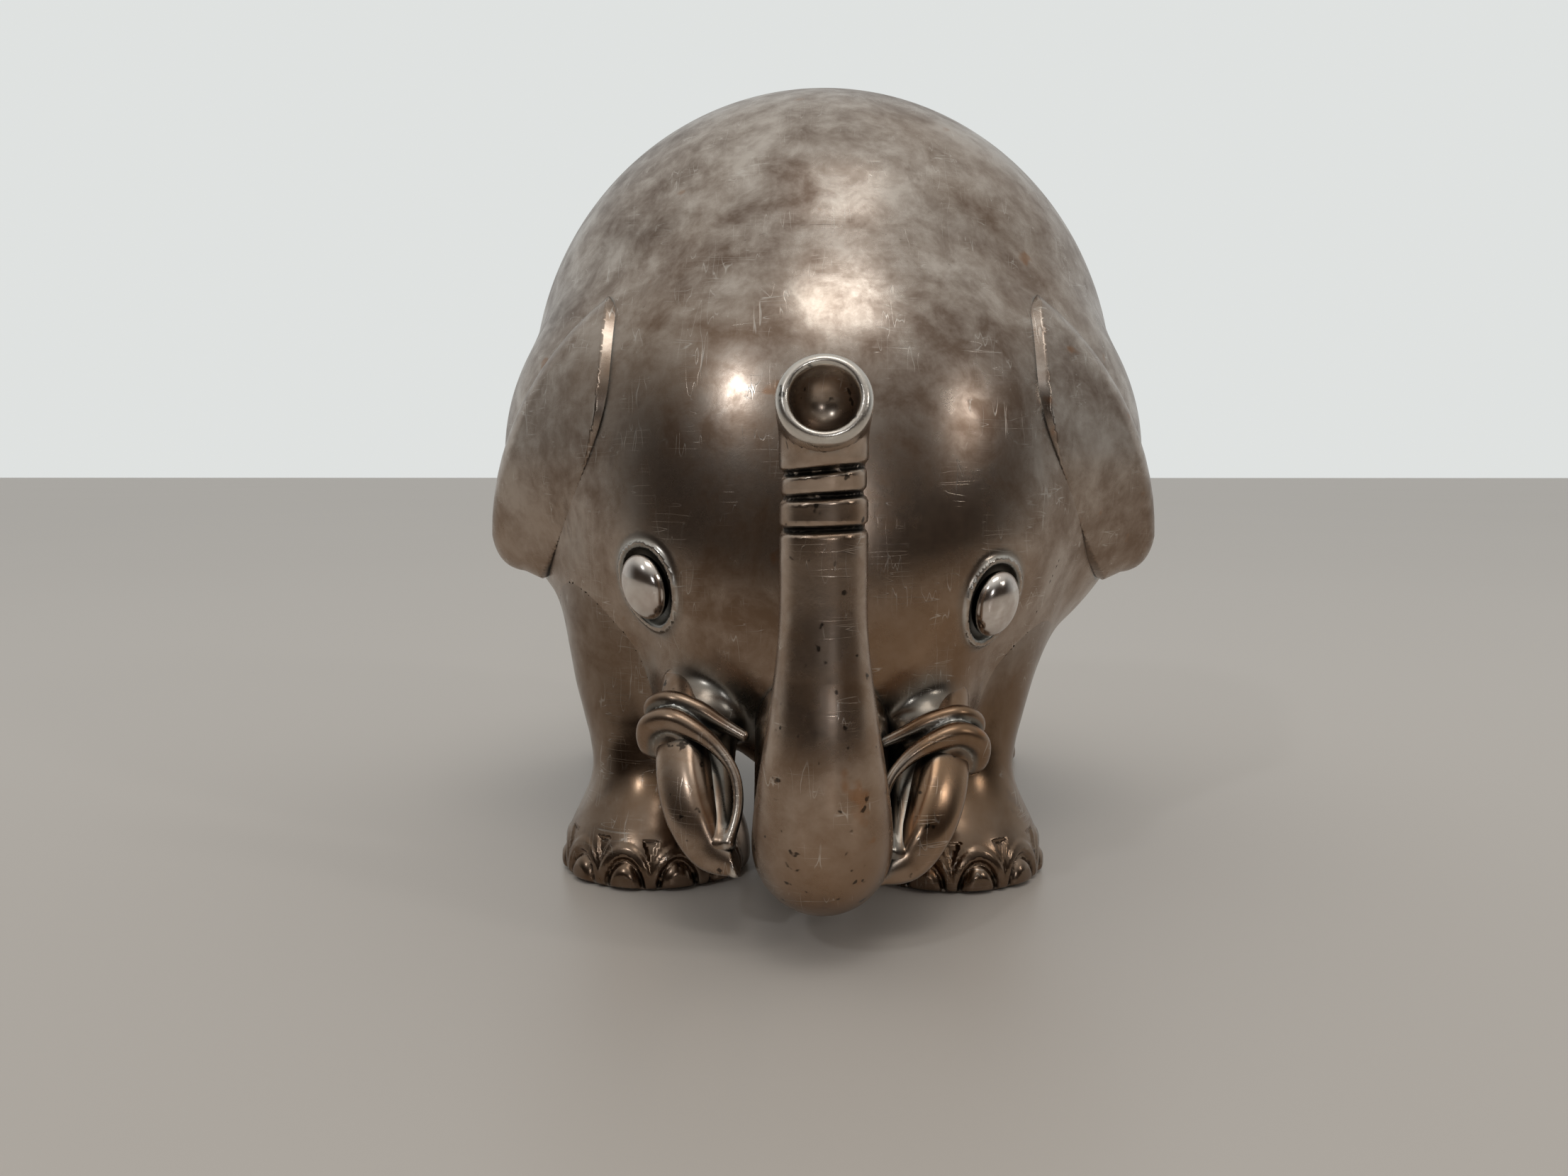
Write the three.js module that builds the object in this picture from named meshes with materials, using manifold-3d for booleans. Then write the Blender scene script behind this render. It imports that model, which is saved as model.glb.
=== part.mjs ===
// Elephant coin bank: two hollow cast shell halves with soldered-on legs, ears, eyes, tusks, trunk and
// tail, a coin slot along the spine, and a hinged trap with a key lock in the belly.
// Millimetres, +Z up. The elephant faces -Y, its own left side is +X, and its soles stand on z = 0.
// While the pieces are made, y is measured backwards from the front edge of the front feet.
import * as THREE from "three";
import { mergeVertices } from "three/addons/utils/BufferGeometryUtils.js";
import Module from "manifold-3d";

const wasm = await Module();
wasm.setup();

// ---------------------------------------------------------------- driving dimensions
const GAP = 0.3; // left between any two pieces that touch
const WALL = 2.6; // shell thickness
const THROUGH = 40; // height of a cut that passes right through its piece

const DOME = { centre: [0, 55, 65], radii: [46.5, 45, 48] }; // rump and back
const BARREL = { centre: [0, 40, 55.5], radii: [48, 36, 38.5] }; // ribs and shoulders
const HEAD = { centre: [0, 18, 49], radii: [30.5, 22, 37] };
const CHIN_WIDTH = 0.72; // width of the lower face against the brow
const FACE_LEAN = 0.2; // how far the lower face comes forward, per mm of height
const BELLY_Z = 20; // flat underside of the body
const SHELL_CENTRE = [0, 46, 60]; // the shell is star-shaped about this point

const SLOT = { width: 4.8, length: 36, centreY: 68 };

const FRONT_FOOT = { x: 19.9, y: 14.2, shift: -2.4, lean: 10 };
const REAR_FOOT = { x: 26.5, y: 77, shift: -3, lean: -4 };
const SOLE_RADIUS = 13.6;
const FOOT_RADIUS = 14.2;
const ANKLE = { radius: 9.6, z: 13 };
const THIGH = { radius: 14.6, z: 29, top: 48 };

// The ear's front face lies at startY where x = startX. It sweeps back with x and curls back from waistZ.
const EAR = { startX: 31.8, startY: 10.8, sweep: 0.9, curl: 0.021, waistZ: 56, thickness: 4.6 };
const EAR_ROOT = { x: 29, curve: 0.0148, topZ: 66, inset: 3 }; // the line where the ear leaves the head
const EYE = { x: 22.2, z: 38.4, halfWidth: 3.7, halfHeight: 4.5, halfDepth: 2.3, proud: 0.7 };
const FACE_ROLL = THREE.MathUtils.degToRad(2.6); // eyes, lips and tusks sit a little askew
const ROLL_CENTRE_Z = 45;
const COLLAR = { x: 15.5, y: -2.6, z: 21.1, radius: 4.1, ridge: 1.1, ridges: 2, pitch: 1.8, depth: 13 };
const TUSK = { rootRadius: 3.4, tipRadius: 1.2 };
const TUSK_PATH = [
  [16.2, 4, 25.4], [15.5, -3, 20.9], [14.7, -8, 16], [13.4, -10.6, 12.6], [11.3, -12.3, 9.6], [8.2, -14, 8.4],
];

const TRUNK_TIP = { radius: 4.9, bore: 3.4, depth: 4 };
const BANDS = { first: 0.748, pitch: 0.0385, count: 3, depth: 0.5, gap: 0.8, skew: 0.02 };

const TRAP = { y: 54, hole: 14, ringInner: 13, ringOuter: 18, plate: 2, doorRadius: 17 };
const NECK_WALL = TRAP.hole - GAP - TRAP.ringInner;
const HINGE = { pin: 0.8, knuckle: 2, length: 12, y: TRAP.y - TRAP.ringOuter - 1.7 };
const LOCK = { y: TRAP.y + 6, barrel: 4.2, bore: 3.5, plug: 3.2, flange: 5.8 };
const CAM = { length: 9.1, halfWidth: 3, thickness: 1.5 };
const SCREW = { shank: 0.7, hole: 1, head: 2.2 };
const KEY = { blade: [1, 4.4, 7.4], neck: [1, 2.8, 2.4], bowRadius: 4.9, bowHole: 2 };

// levels of the trap's stack, from the belly downwards
const RING_BOTTOM = BELLY_Z - GAP - TRAP.plate;
const DOOR_TOP = RING_BOTTOM - GAP;
const DOOR_BOTTOM = DOOR_TOP - TRAP.plate;
const NECK_TOP = BELLY_Z + WALL + 1.7;
const BARREL_BOTTOM = DOOR_BOTTOM - GAP - 0.9;
const BARREL_TOP = NECK_TOP - 0.2;
const CAM_BOTTOM = NECK_TOP + GAP;
const HINGE_Z = (DOOR_TOP + DOOR_BOTTOM) / 2;

// ---------------------------------------------------------------- materials
const patina = (color, roughness) => ({ color, roughness, metalness: 1 });
const SILVER = patina(0x9a8f82, 0.32);
const DARK_SILVER = patina(0x6f6052, 0.36);
const BRIGHT_SILVER = patina(0xc9c2b8, 0.2);
const BRASS = patina(0xa98a4e, 0.35);
const STEEL = patina(0x8d8f92, 0.4);

const model = new THREE.Group();

function addPiece(name, geometry, look, place = [0, 0, 0]) {
  const mesh = new THREE.Mesh(geometry, new THREE.MeshStandardMaterial(look));
  mesh.name = name;
  mesh.position.set(...place);
  model.add(mesh);
  return mesh;
}

// ---------------------------------------------------------------- solids and booleans
function toSolid(geometry) {
  const bare = geometry.clone();
  bare.deleteAttribute("normal");
  bare.deleteAttribute("uv");
  const merged = mergeVertices(bare, 1e-4);
  return new wasm.Manifold(new wasm.Mesh({
    numProp: 3,
    vertProperties: new Float32Array(merged.attributes.position.array),
    triVerts: new Uint32Array(merged.index.array),
  }));
}

function toGeometry(solid) {
  const mesh = solid.getMesh();
  const geometry = new THREE.BufferGeometry();
  geometry.setAttribute("position", new THREE.BufferAttribute(mesh.vertProperties, 3));
  geometry.setIndex(new THREE.BufferAttribute(mesh.triVerts, 1));
  return geometry;
}

function at(geometry, [x, y, z]) {
  return geometry.translate(x, y, z);
}

function box(size, centre) {
  return toSolid(at(new THREE.BoxGeometry(...size), centre));
}

// A solid of revolution about a vertical axis; the profile is a list of [radius, z].
function turned(profile, centre = [0, 0, 0], segments = 24) {
  const points = profile.map(([radius, z]) => new THREE.Vector2(radius, z));
  return toSolid(at(new THREE.LatheGeometry(points, segments).rotateX(Math.PI / 2), centre));
}

function drum(radius, low, high, x, y, segments = 24) {
  return turned([[0, low], [radius, low], [radius, high], [0, high]], [x, y, 0], segments);
}

function ring(inner, outer, low, high, x, y, segments = 24) {
  const profile = [[inner, low], [outer, low], [outer, high], [inner, high], [inner, low]];
  return turned(profile, [x, y, 0], segments);
}

// A round rod along X.
function crossRod(radius, length, [x, y, z], segments = 16) {
  const rod = new THREE.CylinderGeometry(radius, radius, length, segments).rotateZ(Math.PI / 2);
  return toSolid(at(rod, [x, y, z]));
}

// A tube of changing radius along a curve: a closed cylinder whose rings are moved onto the curve.
function tapered(points, radiusAt, steps, sides, widen = () => 1) {
  const curve = new THREE.CatmullRomCurve3(points.map((p) => new THREE.Vector3(...p)));
  const geometry = new THREE.CylinderGeometry(1, 1, 1, sides, steps);
  const position = geometry.attributes.position;
  const side = new THREE.Vector3();
  const lift = new THREE.Vector3();
  const spot = new THREE.Vector3();
  for (let i = 0; i < position.count; i += 1) {
    const t = 0.5 - position.getY(i);
    const along = curve.getPointAt(t);
    const tangent = curve.getTangentAt(t);
    side.set(1, 0, 0).addScaledVector(tangent, -tangent.x).normalize();
    lift.crossVectors(tangent, side);
    const radius = radiusAt(t);
    spot.copy(along);
    spot.addScaledVector(side, position.getX(i) * radius * widen(t));
    spot.addScaledVector(lift, position.getZ(i) * radius);
    position.setXYZ(i, spot.x, spot.y, spot.z);
  }
  return toSolid(geometry);
}

// ---------------------------------------------------------------- the body's outer form
// Each field is negative inside and roughly the distance in mm outside.
function ellipsoidField([x, y, z], { centre, radii }) {
  const reach = new THREE.Vector3(...radii);
  const q = new THREE.Vector3(x - centre[0], y - centre[1], z - centre[2]).divide(reach);
  const size = q.length();
  const slope = q.divide(reach).length();
  return slope === 0 ? -Math.min(...radii) : (size * (size - 1)) / slope;
}

function softUnion(a, b, reach) {
  const near = Math.max(reach - Math.abs(a - b), 0) / reach;
  return Math.min(a, b) - near * near * reach * 0.25;
}

function headField([x, y, z]) {
  const width = CHIN_WIDTH + (1 - CHIN_WIDTH) * THREE.MathUtils.smoothstep(z, 14, 46);
  return ellipsoidField([x / width, y + (HEAD.centre[2] - z) * FACE_LEAN, z], HEAD);
}

function bodyField(point) {
  const round = softUnion(ellipsoidField(point, DOME), ellipsoidField(point, BARREL), 2.6);
  const flattened = -softUnion(-round, point[2] - BELLY_Z, 6);
  return softUnion(flattened, headField(point), 9);
}

// The surface a given distance outside the body's form, as a sphere whose points are moved in or out.
function bodySkin(outside, around = 34, down = 22) {
  const geometry = new THREE.SphereGeometry(1, around, down).rotateX(Math.PI / 2);
  const position = geometry.attributes.position;
  const [cx, cy, cz] = SHELL_CENTRE;
  for (let i = 0; i < position.count; i += 1) {
    const way = new THREE.Vector3().fromBufferAttribute(position, i).normalize();
    let low = 5;
    let high = 90;
    for (let halving = 0; halving < 30; halving += 1) {
      const middle = (low + high) / 2;
      const point = [cx + way.x * middle, cy + way.y * middle, cz + way.z * middle];
      if (bodyField(point) < outside) low = middle;
      else high = middle;
    }
    position.setXYZ(i, cx + way.x * low, cy + way.y * low, cz + way.z * low);
  }
  return toSolid(geometry);
}

const outerSkin = bodySkin(0);
const innerSkin = bodySkin(-WALL);
const clearSkin = bodySkin(GAP);

// Where a line along Y at (x, z) meets the front of the body.
function faceY(x, z) {
  let front = -40;
  let back = 30;
  for (let halving = 0; halving < 30; halving += 1) {
    const middle = (front + back) / 2;
    if (bodyField([x, middle, z]) > 0) front = middle;
    else back = middle;
  }
  return front;
}

// Turns a point of the face by the small roll of the features.
function rolled([x, y, z]) {
  const dz = z - ROLL_CENTRE_Z;
  return [
    x * Math.cos(FACE_ROLL) + dz * Math.sin(FACE_ROLL),
    y,
    ROLL_CENTRE_Z + dz * Math.cos(FACE_ROLL) - x * Math.sin(FACE_ROLL),
  ];
}

// ---------------------------------------------------------------- eyes
// An eye is an oval dome set across the surface; grown by a clearance it also cuts its socket.
function eyeSolid(side, clearance) {
  const [x, , z] = rolled([side * EYE.x, 0, EYE.z]);
  const y = faceY(x, z);
  const step = 0.5;
  const outward = new THREE.Vector3(
    bodyField([x + step, y, z]) - bodyField([x - step, y, z]),
    bodyField([x, y + step, z]) - bodyField([x, y - step, z]),
    bodyField([x, y, z + step]) - bodyField([x, y, z - step]),
  ).normalize();
  const eye = new THREE.SphereGeometry(1, 16, 10);
  eye.scale(EYE.halfWidth + clearance, EYE.halfHeight + clearance, EYE.halfDepth + clearance);
  const turn = new THREE.Matrix4().lookAt(outward, new THREE.Vector3(), new THREE.Vector3(0, 0, 1));
  eye.applyMatrix4(turn);
  const centre = new THREE.Vector3(x, y, z).addScaledVector(outward, EYE.proud);
  return toSolid(eye.translate(centre.x, centre.y, centre.z));
}

// ---------------------------------------------------------------- lip collars and tusks
function tuskPath(side) {
  return TUSK_PATH.map(([x, y, z]) => rolled([side * x, y, z]));
}

function tuskSolid(side, clearance) {
  const taper = (t) => THREE.MathUtils.lerp(TUSK.rootRadius, TUSK.tipRadius, t ** 4.5) + clearance;
  return tapered(tuskPath(side), taper, 9, 12);
}

// The lip: a short stub round the root of each tusk, with round ridges side by side.
function collarSolid(side, clearance = 0) {
  const bulge = COLLAR.ridge + clearance;
  const profile = [[0, bulge]];
  const corners = 5;
  for (let k = 0; k < COLLAR.ridges; k += 1) {
    for (let corner = 0; corner < corners; corner += 1) {
      const angle = (Math.PI * (corner + 0.5)) / corners;
      const radius = COLLAR.radius + bulge * Math.sin(angle);
      profile.push([radius, bulge * Math.cos(angle) - k * COLLAR.pitch]);
    }
  }
  profile.push([COLLAR.radius + bulge / 2, -COLLAR.depth + COLLAR.radius]);
  profile.push([0, -COLLAR.depth - clearance]);
  const [root, next] = tuskPath(side).map((p) => new THREE.Vector3(...p));
  const axis = next.clone().sub(root).normalize();
  const turn = new THREE.Quaternion().setFromUnitVectors(new THREE.Vector3(0, 1, 0), axis);
  const points = profile.map(([radius, z]) => new THREE.Vector2(radius, z)).reverse();
  const collar = new THREE.LatheGeometry(points, 20).applyQuaternion(turn);
  return toSolid(at(collar, rolled([side * COLLAR.x, COLLAR.y, COLLAR.z])));
}

// ---------------------------------------------------------------- trunk
const TRUNK_PATH = [
  [0, 3, 26], [0, -7, 15.6], [0, -15.5, 12], [0, -20.6, 20], [0, -21, 32], [0, -20.4, 44],
  [0, -20.2, 53], [0, -22.6, 59.2], [0, -27.4, 61],
];

function trunkRadius(t) {
  const base = THREE.MathUtils.lerp(8.3, 7.9, THREE.MathUtils.smoothstep(t, 0, 0.3));
  const slim = THREE.MathUtils.lerp(base, 4.7, THREE.MathUtils.smoothstep(t, 0.3, 0.68));
  return THREE.MathUtils.lerp(slim, TRUNK_TIP.radius, THREE.MathUtils.smoothstep(t, 0.9, 0.96));
}

function trunkSolid(clearance) {
  return tapered(TRUNK_PATH, (t) => trunkRadius(t) + clearance, 26, 16);
}

function trunkPiece() {
  const curve = new THREE.CatmullRomCurve3(TRUNK_PATH.map((p) => new THREE.Vector3(...p)));
  const forward = curve.getTangentAt(1);
  const turn = new THREE.Quaternion().setFromUnitVectors(new THREE.Vector3(0, 1, 0), forward);
  const bore = new THREE.CylinderGeometry(TRUNK_TIP.bore, TRUNK_TIP.bore * 0.7, TRUNK_TIP.depth * 2, 16);
  bore.applyQuaternion(turn);
  const mouth = curve.getPointAt(1);
  let trunk = trunkSolid(0).subtract(toSolid(bore.translate(mouth.x, mouth.y, mouth.z)));
  for (let k = 0; k < BANDS.count; k += 1) {
    const t = BANDS.first + k * BANDS.pitch;
    const centre = curve.getPointAt(t);
    const along = curve.getTangentAt(t);
    const cut = new THREE.BoxGeometry(TRUNK_TIP.radius * 4, BANDS.depth * 2, BANDS.gap);
    const face = new THREE.Vector3(0, -1, 0).addScaledVector(along, along.y).normalize();
    const across = new THREE.Vector3(1, 0, 0);
    cut.rotateY(BANDS.skew * (k + 1)); // cut by hand, so never quite square
    cut.applyMatrix4(new THREE.Matrix4().makeBasis(across, face, along.clone()));
    centre.addScaledVector(face, trunkRadius(t));
    trunk = trunk.subtract(toSolid(cut.translate(centre.x, centre.y, centre.z)));
  }
  return trunk.subtract(clearSkin);
}

// ---------------------------------------------------------------- shell halves
function slotSolid() {
  return box([SLOT.width, SLOT.length, THROUGH], [0, SLOT.centreY, DOME.centre[2] + DOME.radii[2]]);
}

function makeShells() {
  let shell = outerSkin;
  for (const side of [-1, 1]) {
    const collar = collarSolid(side).subtract(tuskSolid(side, 1.5 * GAP)).subtract(trunkSolid(GAP));
    shell = shell.add(collar);
  }
  shell = shell.subtract(innerSkin);
  shell = shell.subtract(slotSolid());
  shell = shell.subtract(drum(TRAP.hole, 0, THROUGH, 0, TRAP.y, 32));
  for (const side of [-1, 1]) {
    shell = shell.subtract(eyeSolid(side, GAP));
  }
  const block = 200; // larger than the whole shell
  for (const [name, side] of [["shell_left", 1], ["shell_right", -1]]) {
    const [, y, z] = SHELL_CENTRE;
    const half = box([block, block, block], [side * (block / 2 + GAP / 2), y, z]);
    addPiece(name, toGeometry(shell.intersect(half)), SILVER);
  }
}

// ---------------------------------------------------------------- legs
// A turned leg whose upper part leans along y by `lean`.
function legSolid(lean) {
  const profile = [
    [0, 0],
    [SOLE_RADIUS, 0],
    [FOOT_RADIUS, 0.8],
    [FOOT_RADIUS, 3.6],
    [FOOT_RADIUS - 1.5, 7],
    [ANKLE.radius + 0.7, 10.4],
    [ANKLE.radius, ANKLE.z],
    [ANKLE.radius + 1, ANKLE.z + 4],
    [THIGH.radius - 1.6, THIGH.z - 6],
  ];
  const roundings = 5;
  for (let k = 0; k <= roundings; k += 1) {
    const angle = (Math.PI / 2) * (k / roundings);
    profile.push([THIGH.radius * Math.cos(angle), THIGH.z + (THIGH.top - THIGH.z) * Math.sin(angle)]);
  }
  profile[profile.length - 1][0] = 0;
  const points = profile.map(([radius, z]) => new THREE.Vector2(radius, z));
  const leg = new THREE.LatheGeometry(points, 28).rotateX(Math.PI / 2);
  const position = leg.attributes.position;
  for (let i = 0; i < position.count; i += 1) {
    const rise = THREE.MathUtils.smoothstep(position.getZ(i), 2, THIGH.z);
    position.setY(i, position.getY(i) + lean * rise);
  }
  return toSolid(leg);
}

function makeLegs() {
  for (const [row, foot] of [["front", FRONT_FOOT], ["rear", REAR_FOOT]]) {
    for (const [name, side] of [["left", 1], ["right", -1]]) {
      const place = [side * foot.x + foot.shift, foot.y, 0];
      let leg = legSolid(foot.lean).translate(place).subtract(clearSkin);
      leg = leg.subtract(collarSolid(side, GAP)).subtract(tuskSolid(side, GAP)).subtract(trunkSolid(GAP));
      addPiece(`leg_${row}_${name}`, toGeometry(leg), DARK_SILVER);
    }
  }
}

// ---------------------------------------------------------------- ears
// x of the line where the left ear's front face leaves the head.
function earRootX(z) {
  return EAR_ROOT.x + EAR_ROOT.curve * Math.max(EAR_ROOT.topZ - z, 0) ** 2;
}

function earFrontY(x, z) {
  const tuck = 1.2 * Math.max(earRootX(z) - x, 0);
  return EAR.startY + EAR.sweep * (x - EAR.startX) + EAR.curl * (z - EAR.waistZ) ** 2 + tuck;
}

// A thick flap with a pointed top, a bowed rim and a round lower outer corner.
function earSolid(side) {
  const outline = new THREE.Shape();
  outline.moveTo(earRootX(38), 37.8);
  outline.lineTo(43.5, 38.8);
  outline.quadraticCurveTo(48.6, 38.8, 48.7, 44);
  outline.bezierCurveTo(46.8, 55, 41, 69, 29, 77);
  const rootSteps = 8;
  for (let k = 0; k < rootSteps; k += 1) {
    const z = THREE.MathUtils.lerp(75, 40, k / (rootSteps - 1));
    outline.lineTo(earRootX(z) - EAR_ROOT.inset, z);
  }
  const settings = { depth: EAR.thickness, curveSegments: 8, bevelEnabled: false };
  const flap = new THREE.ExtrudeGeometry(outline, settings);
  flap.rotateX(Math.PI / 2);
  flap.translate(0, EAR.thickness, 0);
  const position = flap.attributes.position;
  for (let i = 0; i < position.count; i += 1) {
    position.setY(i, position.getY(i) + earFrontY(position.getX(i), position.getZ(i)));
  }
  let solid = toSolid(flap);
  if (side < 0) solid = solid.mirror([1, 0, 0]);
  return solid.subtract(clearSkin);
}

function makeHeadPieces() {
  for (const [name, side] of [["left", 1], ["right", -1]]) {
    addPiece(`ear_${name}`, toGeometry(earSolid(side)), DARK_SILVER);
    addPiece(`eye_${name}`, toGeometry(eyeSolid(side, 0)), BRIGHT_SILVER);
    const tusk = tuskSolid(side, 0).subtract(clearSkin);
    addPiece(`tusk_${name}`, toGeometry(tusk.subtract(trunkSolid(GAP))), SILVER);
  }
  addPiece("trunk", toGeometry(trunkPiece()), SILVER);
}

// ---------------------------------------------------------------- tail
function makeTail() {
  const path = [[0, 95, 70], [0, 100.6, 63], [0, 103.2, 54], [0, 102.6, 46], [0, 101, 40]];
  const radiusAt = (t) => 1.9 - 0.5 * t + 1.1 * Math.exp(-(((t - 0.86) / 0.1) ** 2));
  addPiece("tail", toGeometry(tapered(path, radiusAt, 12, 10).subtract(clearSkin)), DARK_SILVER);
}

// ---------------------------------------------------------------- trap, hinge and lock
function trapFrame() {
  const neckOuter = TRAP.ringInner + NECK_WALL;
  let frame = turned([
    [TRAP.ringInner, RING_BOTTOM],
    [TRAP.ringOuter, RING_BOTTOM],
    [TRAP.ringOuter, RING_BOTTOM + TRAP.plate],
    [neckOuter, RING_BOTTOM + TRAP.plate],
    [neckOuter, NECK_TOP],
    [TRAP.ringInner, NECK_TOP],
    [TRAP.ringInner, RING_BOTTOM],
  ], [0, TRAP.y, 0], 32);
  const lugLength = HINGE.length / 3;
  for (const side of [-1, 1]) {
    const x = side * lugLength;
    const length = lugLength - GAP;
    frame = frame.add(crossRod(HINGE.knuckle, length, [x, HINGE.y, HINGE_Z]));
    const top = RING_BOTTOM + TRAP.plate;
    const strapHeight = top - HINGE_Z;
    frame = frame.add(box([length, HINGE.knuckle * 2, strapHeight], [x, HINGE.y, HINGE_Z + strapHeight / 2]));
    frame = frame.add(box([length, 4, TRAP.plate], [x, HINGE.y + 2.5, top - TRAP.plate / 2]));
  }
  return frame.subtract(crossRod(HINGE.pin + GAP, HINGE.length * 2, [0, HINGE.y, HINGE_Z]));
}

function trapDoor() {
  let door = drum(TRAP.doorRadius, DOOR_BOTTOM, DOOR_TOP, 0, TRAP.y, 32);
  const length = HINGE.length / 3 - GAP;
  door = door.add(crossRod(HINGE.knuckle - 0.2, length, [0, HINGE.y, HINGE_Z]));
  const reach = TRAP.y - TRAP.doorRadius - HINGE.y + 2;
  door = door.add(box([length, reach, TRAP.plate], [0, HINGE.y + reach / 2, HINGE_Z]));
  door = door.subtract(drum(LOCK.barrel + GAP, 0, THROUGH, 0, LOCK.y));
  return door.subtract(crossRod(HINGE.pin + GAP, HINGE.length * 2, [0, HINGE.y, HINGE_Z]));
}

function hingePin() {
  const reach = HINGE.length / 2 + 0.6;
  const head = crossRod(HINGE.pin + 0.7, 0.8, [reach + 0.4, HINGE.y, HINGE_Z]);
  return crossRod(HINGE.pin, reach * 2, [0, HINGE.y, HINGE_Z]).add(head);
}

function lockBarrel() {
  return turned([
    [LOCK.bore, BARREL_BOTTOM],
    [LOCK.flange, BARREL_BOTTOM],
    [LOCK.flange, DOOR_BOTTOM - GAP],
    [LOCK.barrel, DOOR_BOTTOM - GAP],
    [LOCK.barrel, BARREL_TOP],
    [LOCK.bore, BARREL_TOP],
    [LOCK.bore, BARREL_BOTTOM],
  ], [0, LOCK.y, 0]);
}

function lockPlug() {
  const plug = drum(LOCK.plug, BARREL_BOTTOM, CAM_BOTTOM - GAP, 0, LOCK.y);
  const [thick, wide, deep] = KEY.blade;
  const keyway = box([thick + 2 * GAP, wide + 2 * GAP, deep * 2 + 2 * GAP], [0, LOCK.y, BARREL_BOTTOM]);
  const screwHole = drum(SCREW.hole, CAM_BOTTOM - 1.6, THROUGH, 0, LOCK.y, 12);
  return plug.subtract(keyway).subtract(screwHole);
}

function lockCam() {
  const top = CAM_BOTTOM + CAM.thickness;
  const length = CAM.length - CAM.halfWidth;
  let cam = drum(CAM.halfWidth, CAM_BOTTOM, top, 0, LOCK.y, 16);
  cam = cam.add(drum(CAM.halfWidth, CAM_BOTTOM, top, -length, LOCK.y, 16));
  const armZ = CAM_BOTTOM + CAM.thickness / 2;
  cam = cam.add(box([length, CAM.halfWidth * 2, CAM.thickness], [-length / 2, LOCK.y, armZ]));
  return cam.subtract(drum(SCREW.hole, 0, THROUGH, 0, LOCK.y, 12));
}

function camScrew() {
  const top = CAM_BOTTOM + CAM.thickness + GAP;
  const crown = top + 1.3;
  const profile = [
    [0, top], [SCREW.head, top], [SCREW.head - 0.2, top + 0.9], [SCREW.head - 1.4, crown], [0, crown],
  ];
  const head = turned(profile, [0, LOCK.y, 0], 16);
  const shank = drum(SCREW.shank, CAM_BOTTOM - 1.2, top, 0, LOCK.y, 12);
  return head.add(shank).subtract(box([0.6, SCREW.head * 3, 0.8], [0, LOCK.y, crown]));
}

function keySolid() {
  const [bladeThick, bladeWide, bladeDeep] = KEY.blade;
  const [neckThick, neckWide, neckDeep] = KEY.neck;
  let key = box([bladeThick, bladeWide, bladeDeep], [0, LOCK.y, BARREL_BOTTOM + bladeDeep / 2]);
  const neckCentre = BARREL_BOTTOM - neckDeep / 2;
  key = key.add(box([neckThick, neckWide, neckDeep + 0.4], [0, LOCK.y, neckCentre]));
  const bowZ = BARREL_BOTTOM - neckDeep - KEY.bowRadius + 0.8;
  key = key.add(crossRod(KEY.bowRadius, neckThick, [0, LOCK.y, bowZ], 20));
  return key.subtract(crossRod(KEY.bowHole, neckThick * 3, [0, LOCK.y, bowZ - 0.8], 12));
}

function lockNut() {
  const low = DOOR_TOP + 1.3;
  const hexagon = drum(LOCK.flange + 0.5, low, low + 2.2, 0, LOCK.y, 6);
  return hexagon.subtract(drum(LOCK.barrel + GAP, 0, THROUGH, 0, LOCK.y));
}

function lockWasher() {
  return ring(LOCK.barrel + GAP, LOCK.flange, DOOR_TOP + GAP, DOOR_TOP + 1, 0, LOCK.y);
}

function makeTrap() {
  addPiece("trap_frame", toGeometry(trapFrame()), SILVER);
  addPiece("trap_door", toGeometry(trapDoor()), SILVER);
  addPiece("hinge_pin", toGeometry(hingePin()), STEEL);
  addPiece("lock_barrel", toGeometry(lockBarrel()), BRASS);
  addPiece("lock_washer", toGeometry(lockWasher()), STEEL);
  addPiece("lock_nut", toGeometry(lockNut()), BRASS);
  addPiece("lock_plug", toGeometry(lockPlug()), BRASS);
  addPiece("lock_cam", toGeometry(lockCam()), STEEL);
  addPiece("cam_screw", toGeometry(camScrew()), STEEL);
  addPiece("key", toGeometry(keySolid()), STEEL);
}

makeShells();
makeLegs();
makeHeadPieces();
makeTail();
makeTrap();

// The origin is under the middle of the whole, on the surface it stands on.
const extent = new THREE.Box3().setFromObject(model);
const middle = extent.getCenter(new THREE.Vector3());
for (const piece of model.children) {
  piece.position.x -= middle.x;
  piece.position.y -= middle.y;
}

export default model;
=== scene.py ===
"""Elephant coin bank in tarnished silver plate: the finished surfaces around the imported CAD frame.

The cast forms are implicit surfaces (negative inside, about the distance in mm outside) written in the
elephant's own millimetres: x to its left, y backwards from the front edge of the front feet, z up. Each
surface is meshed on a grid, moved exactly onto its form, split into the real pieces and given a wall.
"""
import itertools
import math

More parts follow.
